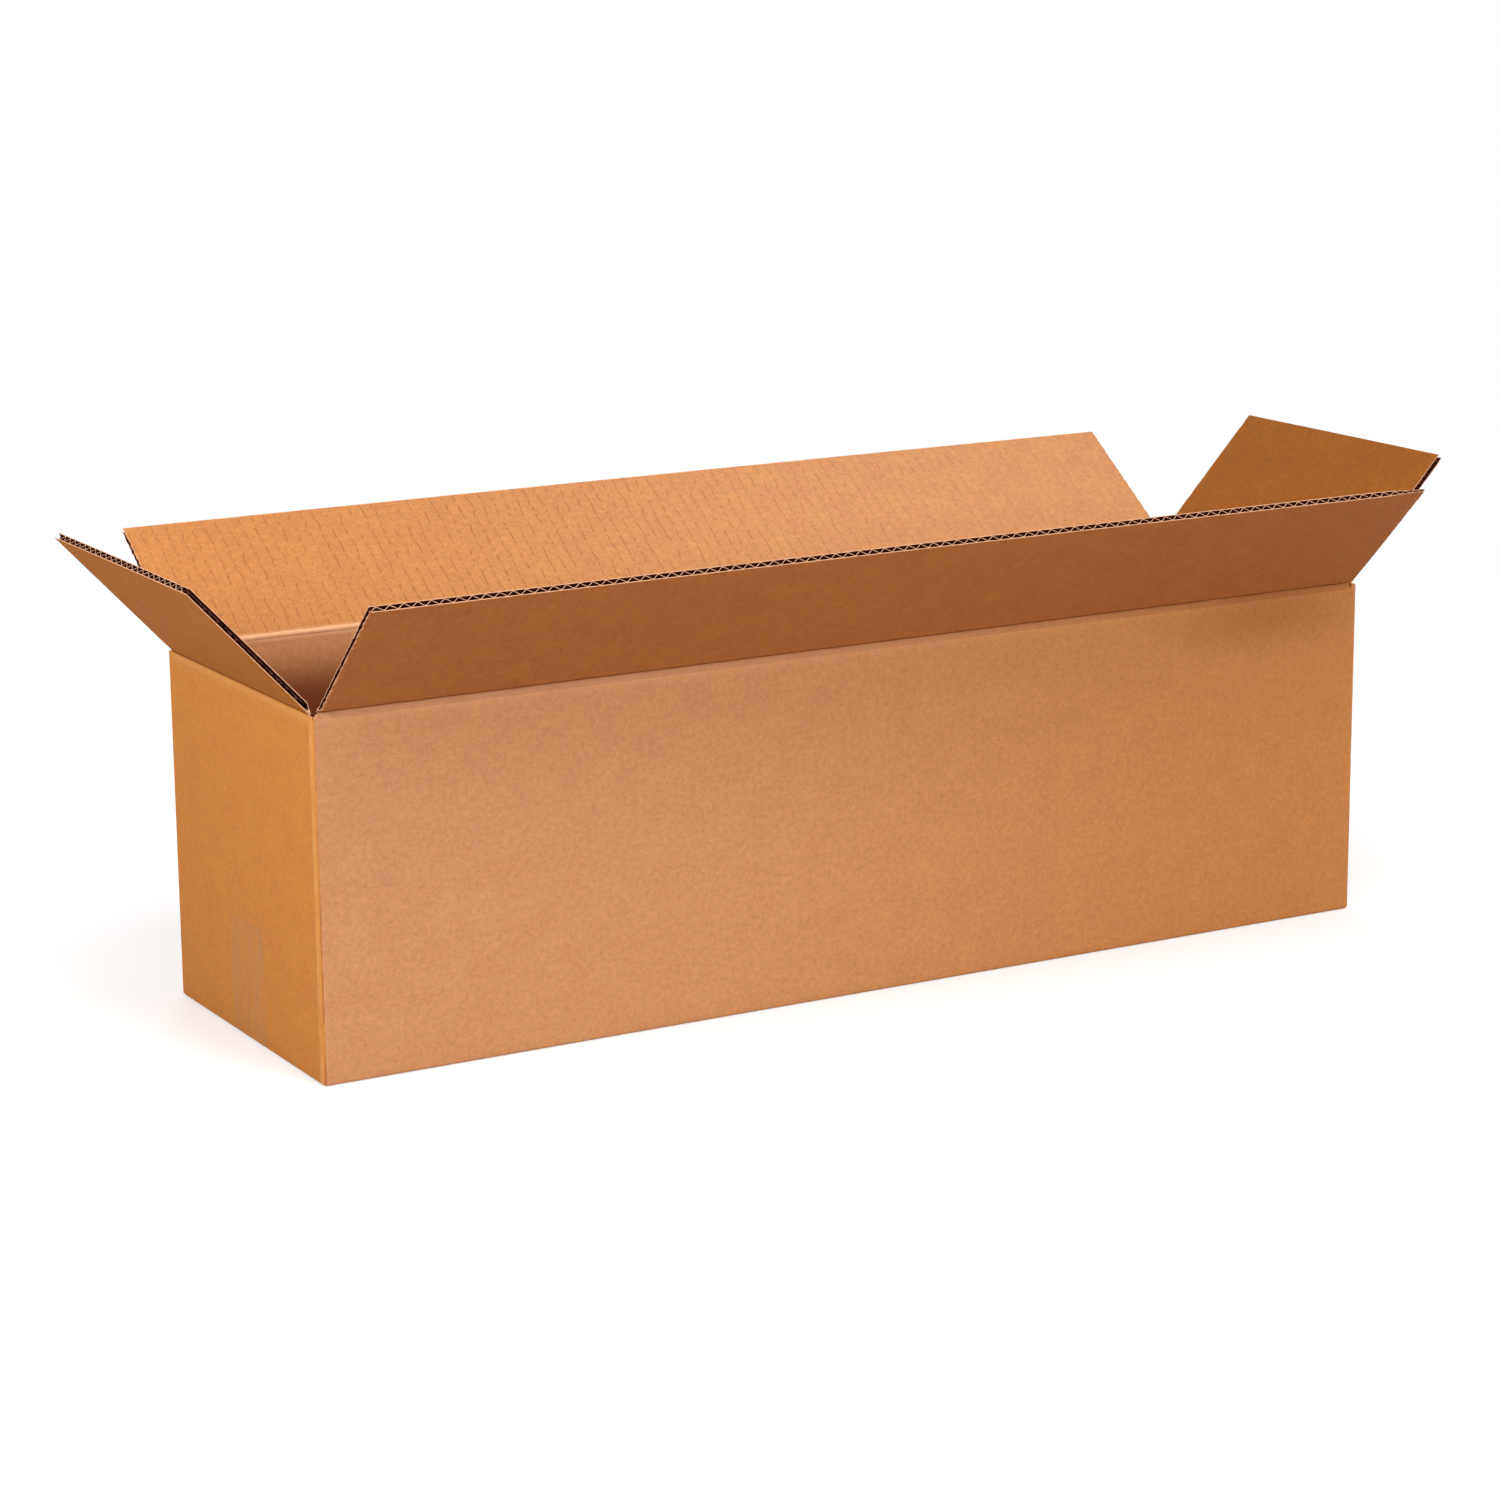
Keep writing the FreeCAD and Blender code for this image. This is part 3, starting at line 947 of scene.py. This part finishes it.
def fold_wear_and_highlight():
    """Wear and painted highlight: 1 beside each fold, on its end wall, and 0 elsewhere."""
    wear_and_highlight = np.zeros(len(panels))
    for number in range(3):
        toward_end = 1 - fold_share if number in END_WALLS else fold_share
        wear_and_highlight = np.where(panels == number + 0.5, np.clip(1.7 * toward_end - 0.7, 0, 1), wear_and_highlight)
        flat = panels == (number if number in END_WALLS else number + 1)
        away = np.abs(outer_line - np.array(outer_corners[number + 1])).max(axis=1)
        wear_and_highlight = np.where(flat & (away < 0.99 * PALE_LINE_WIDTH + FOLD), 0.9, wear_and_highlight)
    return wear_and_highlight


def fold_turn_shade():
    """Painted shade: 1 at the turn of each fold, on the side of its long wall."""
    toward_long = np.where(np.isin(panels, (0.5, 2.5)), fold_share, 1 - fold_share)
    return np.where(is_fold, np.clip(1 - np.abs(toward_long - 0.72) / 0.2, 0, 1), 0)


def wall_marks():
    """Marks on the outside and on the inside of the strip."""
    x, z = strip_outer[..., 0], strip_outer[..., 2]
    is_long = np.isin(panels, LONG_WALLS)
    spots = together(0, z, panels)
    broken = smooth_step(waver(spots, 16 * MM, 5.0), -0.35, 0.25)
    # The crushed band under each crease is painted paler, as a highlight where it tilts up to the light,
    # fading towards the right on the long walls.
    band = np.clip((z - (tops - HIGHLIGHT_BAND_HEIGHT)) / (0.5 * HIGHLIGHT_BAND_HEIGHT), 0, 1) * scored
    to_right = smooth_step(x, -0.30, HALF_LENGTH)
    band = band * np.where(is_long, CREASE_HIGHLIGHT[True] * (1 - 0.85 * to_right), CREASE_HIGHLIGHT[False])
    wear_and_highlight = np.maximum(band, fold_wear_and_highlight() * (0.45 + 0.4 * broken))
    # Painted shade: the long walls turn darker and more orange towards the right.
    drift_and_shade = np.where(is_long, smooth_step(x, -0.25, HALF_LENGTH), 0)
    # Painted shadow below the front crease at the right, and painted shade towards the top.
    away = ((x - FLAP_SHADOW_PLACE[0]) / FLAP_SHADOW_SIZE[0]) ** 2 + ((z - FLAP_SHADOW_PLACE[1]) / FLAP_SHADOW_SIZE[1]) ** 2
    painted_shadow = FLAP_SHADOW * np.exp(-away) * (panels == 1)
    painted_shadow = painted_shadow + TOP_SHADE * smooth_step(z, 0.35 * LONG_TOP, LONG_TOP) * is_long
    lower = 0.35 + 0.65 * smooth_step(0.5 * LONG_TOP + 30 * MM - z, 0, 60 * MM)
    painted_shade = np.maximum(painted_shadow, TURN_SHADE * fold_turn_shade() * lower * (0.35 + 0.65 * broken))
    depth = tops - z
    # Painted shade inside, growing down the walls.
    inside_painted_shade = INSIDE_SHADE * smooth_step(depth, 4 * MM, 40 * MM)
    inside_painted_shade = inside_painted_shade * (1 - 0.4 * smooth_step(depth, 60 * MM, 130 * MM))
    # Painted highlight along the inner crease.
    inside_highlight = RIM_HIGHLIGHT * smooth_step(z, tops - 3.5 * MM, tops - 0.5 * MM) * scored
    return marks(wear_and_highlight, drift_and_shade, painted_shade), marks(inside_highlight, 0.0, inside_painted_shade)


strip_marks = wall_marks()
print("marks on", strip_marks[0][..., 0].size, "points of each side")

# %% [markdown]
# ## The floor
#
# Below, the two long flaps meet at the seam, and the two end flaps lie on top of them inside.
# Only the cut edges of the end flaps can be seen, deep inside the box, but they are fluted
# like all the rest.

# %% Floor flaps
SEAM = 1.0 * MM
FLOOR_LIFT = 0.2 * MM
FLOOR_STEP = 12 * MM
TAPE_SEAT = 0.1 * MM         # the tape under the floor lies in this much room
WAVE_RUN = (0.15, 0.9985)    # where the wave of an end flap starts and stops along it
WAVE_WIDTH = (0.002, 0.998)  # and across it
floor_flap_length = creases["left_flap"].length + TRIM


def flat_board(sheets, corner, across, run, thickness, papers_used):
    """A flat slab from its corner, with one axis across the flutes and one along them."""
    steps = [max(2, round(np.linalg.norm(v) / FLOOR_STEP)) + 1 for v in (run, across)]
    v, w = np.meshgrid(np.linspace(0, 1, steps[0]), np.linspace(0, 1, steps[1]), indexing="ij")
    lower = np.array(corner) + v[..., None] * np.array(run) + w[..., None] * np.array(across)
    upper = lower + np.array((0, 0, thickness))
    grain = together(w * np.linalg.norm(across), v * np.linalg.norm(run), 11)
    # The upper face, inside the box, is darkened a little with painted shade.
    sheets.slab(upper, lower, grain, papers_used, (marks(0 * v, 0.0, 0.15), marks(0 * v)))


def long_floor_flap(sheets, side):
    start = side * (HALF_WIDTH - BOARD)
    half = side * (HALF_LENGTH - SLOT_END)
    run = (0, -start + side * SEAM / 2, 0)
    used = ("inside_wall", "front_wall", "cut_edge")
    flat_board(sheets, (half, start, TAPE_SEAT), (-2 * half, 0, 0), run, BOARD - TAPE_SEAT, used)


def end_floor_flap(sheets, side):
    """Two liners with a wave between them, from the end wall to the cut edge."""
    start = side * (HALF_LENGTH - BOARD)
    tip = side * (HALF_LENGTH - WEB / 2 - floor_flap_length)
    half = side * (HALF_WIDTH - SLOT_END)
    floor = BOARD + FLOOR_LIFT
    across = np.array((0, 2 * half, 0))
    run = np.array((tip - start, 0, 0))
    for low, names in ((floor, ("flute", "end_flap_outside", "cut_edge")),
                       (floor + BOARD - LINER, ("inside_wall", "flute", "cut_edge"))):
        flat_board(sheets, (start, -half, low), across, run, LINER, names)
    waves = 2 * abs(half) / PITCH
    v, w = np.meshgrid(WAVE_RUN, np.linspace(*WAVE_WIDTH, round(waves * WAVE_STEPS)), indexing="ij")
    swing = (BOARD - 2 * LINER - MEDIUM) / 2 - WAVE_GAP
    middle = floor + BOARD / 2 + swing * np.cos(2 * math.pi * w * waves)
    base = np.array((start, -half, 0)) + v[..., None] * run + w[..., None] * across
    grain = together(w, v, 0)
    upper = base + together(0, 0, middle + MEDIUM / 2)
    lower = base + together(0, 0, middle - MEDIUM / 2)
    sheets.slab(upper, lower, grain, ("flute", "flute", "cut_edge"))


print("floor flaps", round(floor_flap_length / MM, 1), "mm long")

# %% Make the walls and the floor
WALL_PAPERS = ("end_wall", "front_wall", "end_wall", "front_wall", "front_wall")
# Behind a cut the flutes are lined with the near-black paper, as painted shade.
CUT_RECESS = 1.6 * MM        # depth of the dark flutes behind a cut across them
JOINT_RECESS = 0.7 * MM      # the same where the cut runs along a flute


def column_paper(panel, share):
    """The paper of a wall, or of a fold, where it changes near the long wall."""
    number = int(panel)
    turned = panel % 1 > 0 and share > (0.7 if number in END_WALLS else 0.3)
    return WALL_PAPERS[number + 1 if turned else number]


def make_walls():
    sheets = Sheets()
    outside = [column_paper(*column) for column in zip(panels[:-1], fold_share[:-1])]
    no_push = np.zeros(3)
    top_push = np.where(scored[:, None], 0.0, 1.0) * np.array((0, 0, -CUT_RECESS))
    start_push = np.array((0, -JOINT_RECESS, 0))
    recess = (no_push, top_push, start_push, -start_push)
    names = (outside, "inside_wall", "cut_edge")
    sheets.slab(strip_outer, strip_inner, strip_grain, names, strip_marks, recess)
    for side in (-1, 1):
        long_floor_flap(sheets, side)
        end_floor_flap(sheets, side)
    walls = sheets.build("box_walls")
    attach(walls, "box")
    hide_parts("box_body")
    return walls


walls = make_walls()
print("walls and floor in", walls.name)

# %% [markdown]
# ## The crushed web at each crease
#
# Between a wall and its flap the board is a thin, soft web that bends when the flap moves.
# A rigid piece would tear away from one side or the other when the flap moves; here each web is a
# strip shaped from the wall round to the flap as they stand at rest. On the inner side it stands
# up as a rounded bead, which catches the light along the back crease.

# %% Web strips from wall to flap
WEB_REACH = 1.7 * MM
WEB_STEPS = 14
WEB_PROUD = 0.03 * MM
BEAD_PROUD = 0.28 * MM
BLEND_REACH = 0.8 * WEB_REACH            # where the start and end points lie, which nothing uses


def web_face(crease, side):
    """Points of one face of the web, from the wall to the flap: outer at side -1, inner at 1."""
    crushed = side < 0 if crease.is_long else side > 0
    bead = BEAD_PROUD if side > 0 else 0.0
    points = []
    for share in np.linspace(0, 1, WEB_STEPS + 1):
        away = abs(2 * share - 1)
        reach = WEB_REACH * away
        left = crush(reach) if share > 0.5 else crush(max(reach - WALL_DROP, 0.0), REACH - WALL_DROP)
        rise = (BOARD - WEB) * (1 - left) if crushed else 0.0
        depth = crease.pivot_depth + side * (WEB / 2 + WEB_PROUD + rise + bead * (1 - away ** 2) ** 2)
        u = reach if share > 0.5 else -reach
        points.append(crease.place(0.0, u, depth, crease.lean * share))
    return np.array(points)


def make_web(name):
    crease = creases[name]
    columns = round(2 * crease.half_width / WALL_STEP)
    s = np.linspace(-crease.half_width, crease.half_width, columns + 1)
    spread = s[None, :, None] * crease.along
    run = np.linspace(-WEB_REACH, WEB_REACH, WEB_STEPS + 1)
    grain = together(s[None, :], run[:, None], 0)
    outside, inside = FLAP_PAPERS[name]
    shape = (WEB_STEPS + 1, columns + 1)
    # Outside, the web is painted darker and more orange, with a painted shade line at the crease; inside
    # it is painted pale, as the highlight along the bead.
    crease_shade_line = np.clip(1 - np.abs(run / WEB_REACH), 0, 1)[:, None]
    marked = (marks(np.zeros(shape), 0.5, 0.6 * crease_shade_line), marks(np.full(shape, 0.9)))
    sheets = Sheets()
    outer_face = web_face(crease, -1)[:, None] + spread
    inner_face = web_face(crease, 1)[:, None] + spread
    sheets.slab(outer_face, inner_face, grain, (outside, inside, "cut_edge"), marked)
    web = sheets.build(name.replace("flap", "crease_web"))
    start = crease.place(0.0, -BLEND_REACH, crease.pivot_depth, 0.0)
    end = crease.place(0.0, BLEND_REACH, crease.pivot_depth, crease.lean)
    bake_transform(web)
    return web


webs = [make_web(name) for name in FLAP_PAPERS]
print("webs", [web.name for web in webs])

# %% [markdown]
# ## Clear tape
#
# One strip of clear tape closes the floor and turns up both end walls. It is hardly there:
# what shows is a slightly paler, smoother patch with a few long wrinkles. So the film is thin
# and mostly see-through, and its wrinkles are geometry.

# %% Tape film
TAPE_LIFT = 0.03 * MM
TAPE_FILM = 0.05 * MM
WRINKLE = 0.28 * MM
STREAK_WIDTH = 7 * MM
STREAK_LENGTH = 60 * MM
HAZE = (0.02, 0.22)          # how opaque the film is, from clear to hazy
FILM_COLOUR = (0.76, 0.40, 0.14, 1.0)
WRINKLE_GRAIN = (1, 0.16, 1)             # draws the wrinkles out along the tape
tape_low, tape_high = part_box("seam_tape")


def tape_material():
    material, shader, add = new_material("clear_tape_film")
    place = add("Attribute", {}, attribute_name="grain").outputs["Vector"]
    streaks = pattern(add, place, STREAK_WIDTH, STREAK_LENGTH, detail=3.0)
    link(remap(add, streaks, 0.40, 0.66, *HAZE), shader.inputs["Alpha"])
    shader.inputs["Base Color"].default_value = FILM_COLOUR
    shader.inputs["Roughness"].default_value = 0.35
    shader.inputs["Specular IOR Level"].default_value = 0.2
    return material


def tape_line():
    """The strip's line in side view, from the top of the left end to the top of the right."""
    x = HALF_LENGTH
    turns = np.linspace(0, math.pi / 2, 7)
    bend = [(x - FOLD + FOLD * math.sin(a), FOLD - FOLD * math.cos(a)) for a in turns]
    right = bend + [(x, z) for z in np.linspace(FOLD, tape_high.z, 40)[1:]]
    left = [(-px, pz) for px, pz in reversed(right)]
    middle = [(px, 0.0) for px in np.linspace(-x + FOLD, x - FOLD, 90)[1:-1]]
    return np.array(left + middle + right)


def make_tape():
    line = tape_line()
    width = np.linspace(tape_low.y, tape_high.y, 49)
    run = run_along(line)
    w, v = np.meshgrid(width, run)
    x = np.broadcast_to(line[:, :1], w.shape)
    z = np.broadcast_to(line[:, 1:], w.shape)
    spots = together(w, v, 0)
    on_end = smooth_step(z, 3 * MM, 11 * MM)
    wrinkles = np.maximum(0, waver(spots * WRINKLE_GRAIN, 6 * MM, 4.0) - 0.30)
    sag = wall_swell(together(x, w, z))
    lift = TAPE_LIFT + on_end * WRINKLE * wrinkles - sag
    side = np.sign(x)
    under = together(x + side * lift, w, np.maximum(z, TAPE_FILM))
    over = together(x + side * (lift + TAPE_FILM * (z > FOLD / 2)), w, z)
    sheets = Sheets()
    sheets.slab(over, under, spots, ("cut_edge",) * 3)
    tape = sheets.build("clear_tape")
    tape.data.materials.clear()
    tape.data.materials.append(tape_material())
    tape.data.polygons.foreach_set("material_index", [0] * len(tape.data.polygons))
    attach(tape, "box")
    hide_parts("seam_tape")
    return tape


tape = make_tape()
print("tape", [round(side / MM, 1) for side in tape.dimensions], "mm")

# %% [markdown]
# ## Floor, backdrop and light
#
# The reference stands on plain white. The floor is pale and takes the shadow near the box, and
# what the camera sees of it runs out into flat white further off, where the world is white
# too. None of that white falls on the box as light: for every other ray the floor is a plain
# grey and the world a soft even level.

# %% Floor and world
FLOOR_HALF = 40.0
FLOOR_DROP = 0.0002
FLOOR_LIT = 0.64             # floor colour near the box, as the camera sees it
FLOOR_GLOW = 0.43            # white added there
FLOOR_BOUNCE = 0.60          # floor colour as the box sees it
NEAR, FAR = 0.55, 1.5        # metres from the box's middle where plain white begins and rules
WORLD_LIGHT = 0.42
WHITE = (1.0, 1.0, 1.0, 1.0)


def seen_directly(add):
    """1 for rays from the camera and in reflections, and 0 for light that falls on things."""
    path = add("LightPath", {}).outputs
    seen = path["Is Camera Ray"]
    for name in ("Is Glossy Ray", "Is Transmission Ray"):
        seen = calculate(add, "MAXIMUM", seen, path[name])
    return seen


def mix_shaders(add, factor, first, second):
    return add("MixShader", {0: factor, 1: first, 2: second}).outputs[0]


def matt_grey(add, level):
    return add("BsdfDiffuse", {"Color": (level, level, level, 1.0)}).outputs[0]


def glow(add, level):
    return add("Emission", {"Strength": level}).outputs[0]


def floor_material():
    material = bpy.data.materials.new("studio_floor")
    add = empty_tree(material)
    place = add("NewGeometry", {}).outputs["Position"]
    away = add("VectorMath", {0: place}, operation="LENGTH").outputs["Value"]
    reach = {"Value": away, "From Min": NEAR, "From Max": FAR}
    far = add("MapRange", reach, interpolation_type="SMOOTHSTEP").outputs["Result"]
    lit = add("AddShader", {0: matt_grey(add, FLOOR_LIT), 1: glow(add, FLOOR_GLOW)}).outputs[0]
    seen = mix_shaders(add, far, lit, glow(add, 1.0))
    surface = mix_shaders(add, seen_directly(add), matt_grey(add, FLOOR_BOUNCE), seen)
    add("OutputMaterial", {"Surface": surface})
    return material


def add_floor():
    work = bmesh.new()
    bmesh.ops.create_grid(work, x_segments=8, y_segments=8, size=FLOOR_HALF)
    mesh = bpy.data.meshes.new("studio_floor")
    work.to_mesh(mesh)
    work.free()
    mesh.materials.append(floor_material())
    floor = new_object("studio_floor", mesh)
    floor.location.z = -FLOOR_DROP


def add_world():
    world = bpy.data.worlds.new("studio_world")
    bpy.context.scene.world = world
    add = empty_tree(world)
    light = add("Background", {"Color": WHITE, "Strength": WORLD_LIGHT}).outputs[0]
    white = add("Background", {"Color": WHITE, "Strength": 1.0}).outputs[0]
    add("OutputWorld", {"Surface": mix_shaders(add, seen_directly(add), light, white)})


add_floor()
add_world()
print("floor", 2 * FLOOR_HALF, "m wide, world level", WORLD_LIGHT)

# %% [markdown]
# Four soft lamps light the box. The key stands in front and a little to the right, low enough
# to reach over the front flap. One hangs above, one stands close to the left end and high, so
# that the underside of the flap there stays dark, and a last one keeps the back readable.

# %% Lamps
TARGET = (0, 0, 0.12)
LAMPS = {                    # where each stands, where it points, its size and its level
    "key_lamp": ((0.45, -2.75, 1.10), TARGET, 0.9, 0.47),
    "top_lamp": ((0.0, -0.85, 2.30), TARGET, 1.4, 0.47),
    "left_lamp": ((-0.98, -0.22, 0.66), (-0.36, 0, 0.1), 0.4, 0.55),
    "back_lamp": ((0.9, 2.7, 1.4), TARGET, 1.4, 0.35),
}


def add_lamp(name, place, target, size, level):
    """A square soft lamp. level is how bright a white sheet at the target then looks."""
    distance = (Vector(place) - Vector(target)).length
    data = bpy.data.lights.new(name, "AREA")
    data.shape = "SQUARE"
    data.size = size
    data.energy = level * (math.pi * distance) ** 2
    lamp = new_object(name, data)
    lamp.location = place
    lamp.rotation_euler = (Vector(target) - Vector(place)).to_track_quat("-Z", "Y").to_euler()
    lamp.visible_camera = False


for name, settings in LAMPS.items():
    add_lamp(name, *settings)
print("lamps", list(LAMPS))

# %% [markdown]
# ## Last settings
#
# The view transform stays plain, so that a colour comes out as it was written.

# %% Finish
bpy.context.scene.view_settings.view_transform = "Standard"
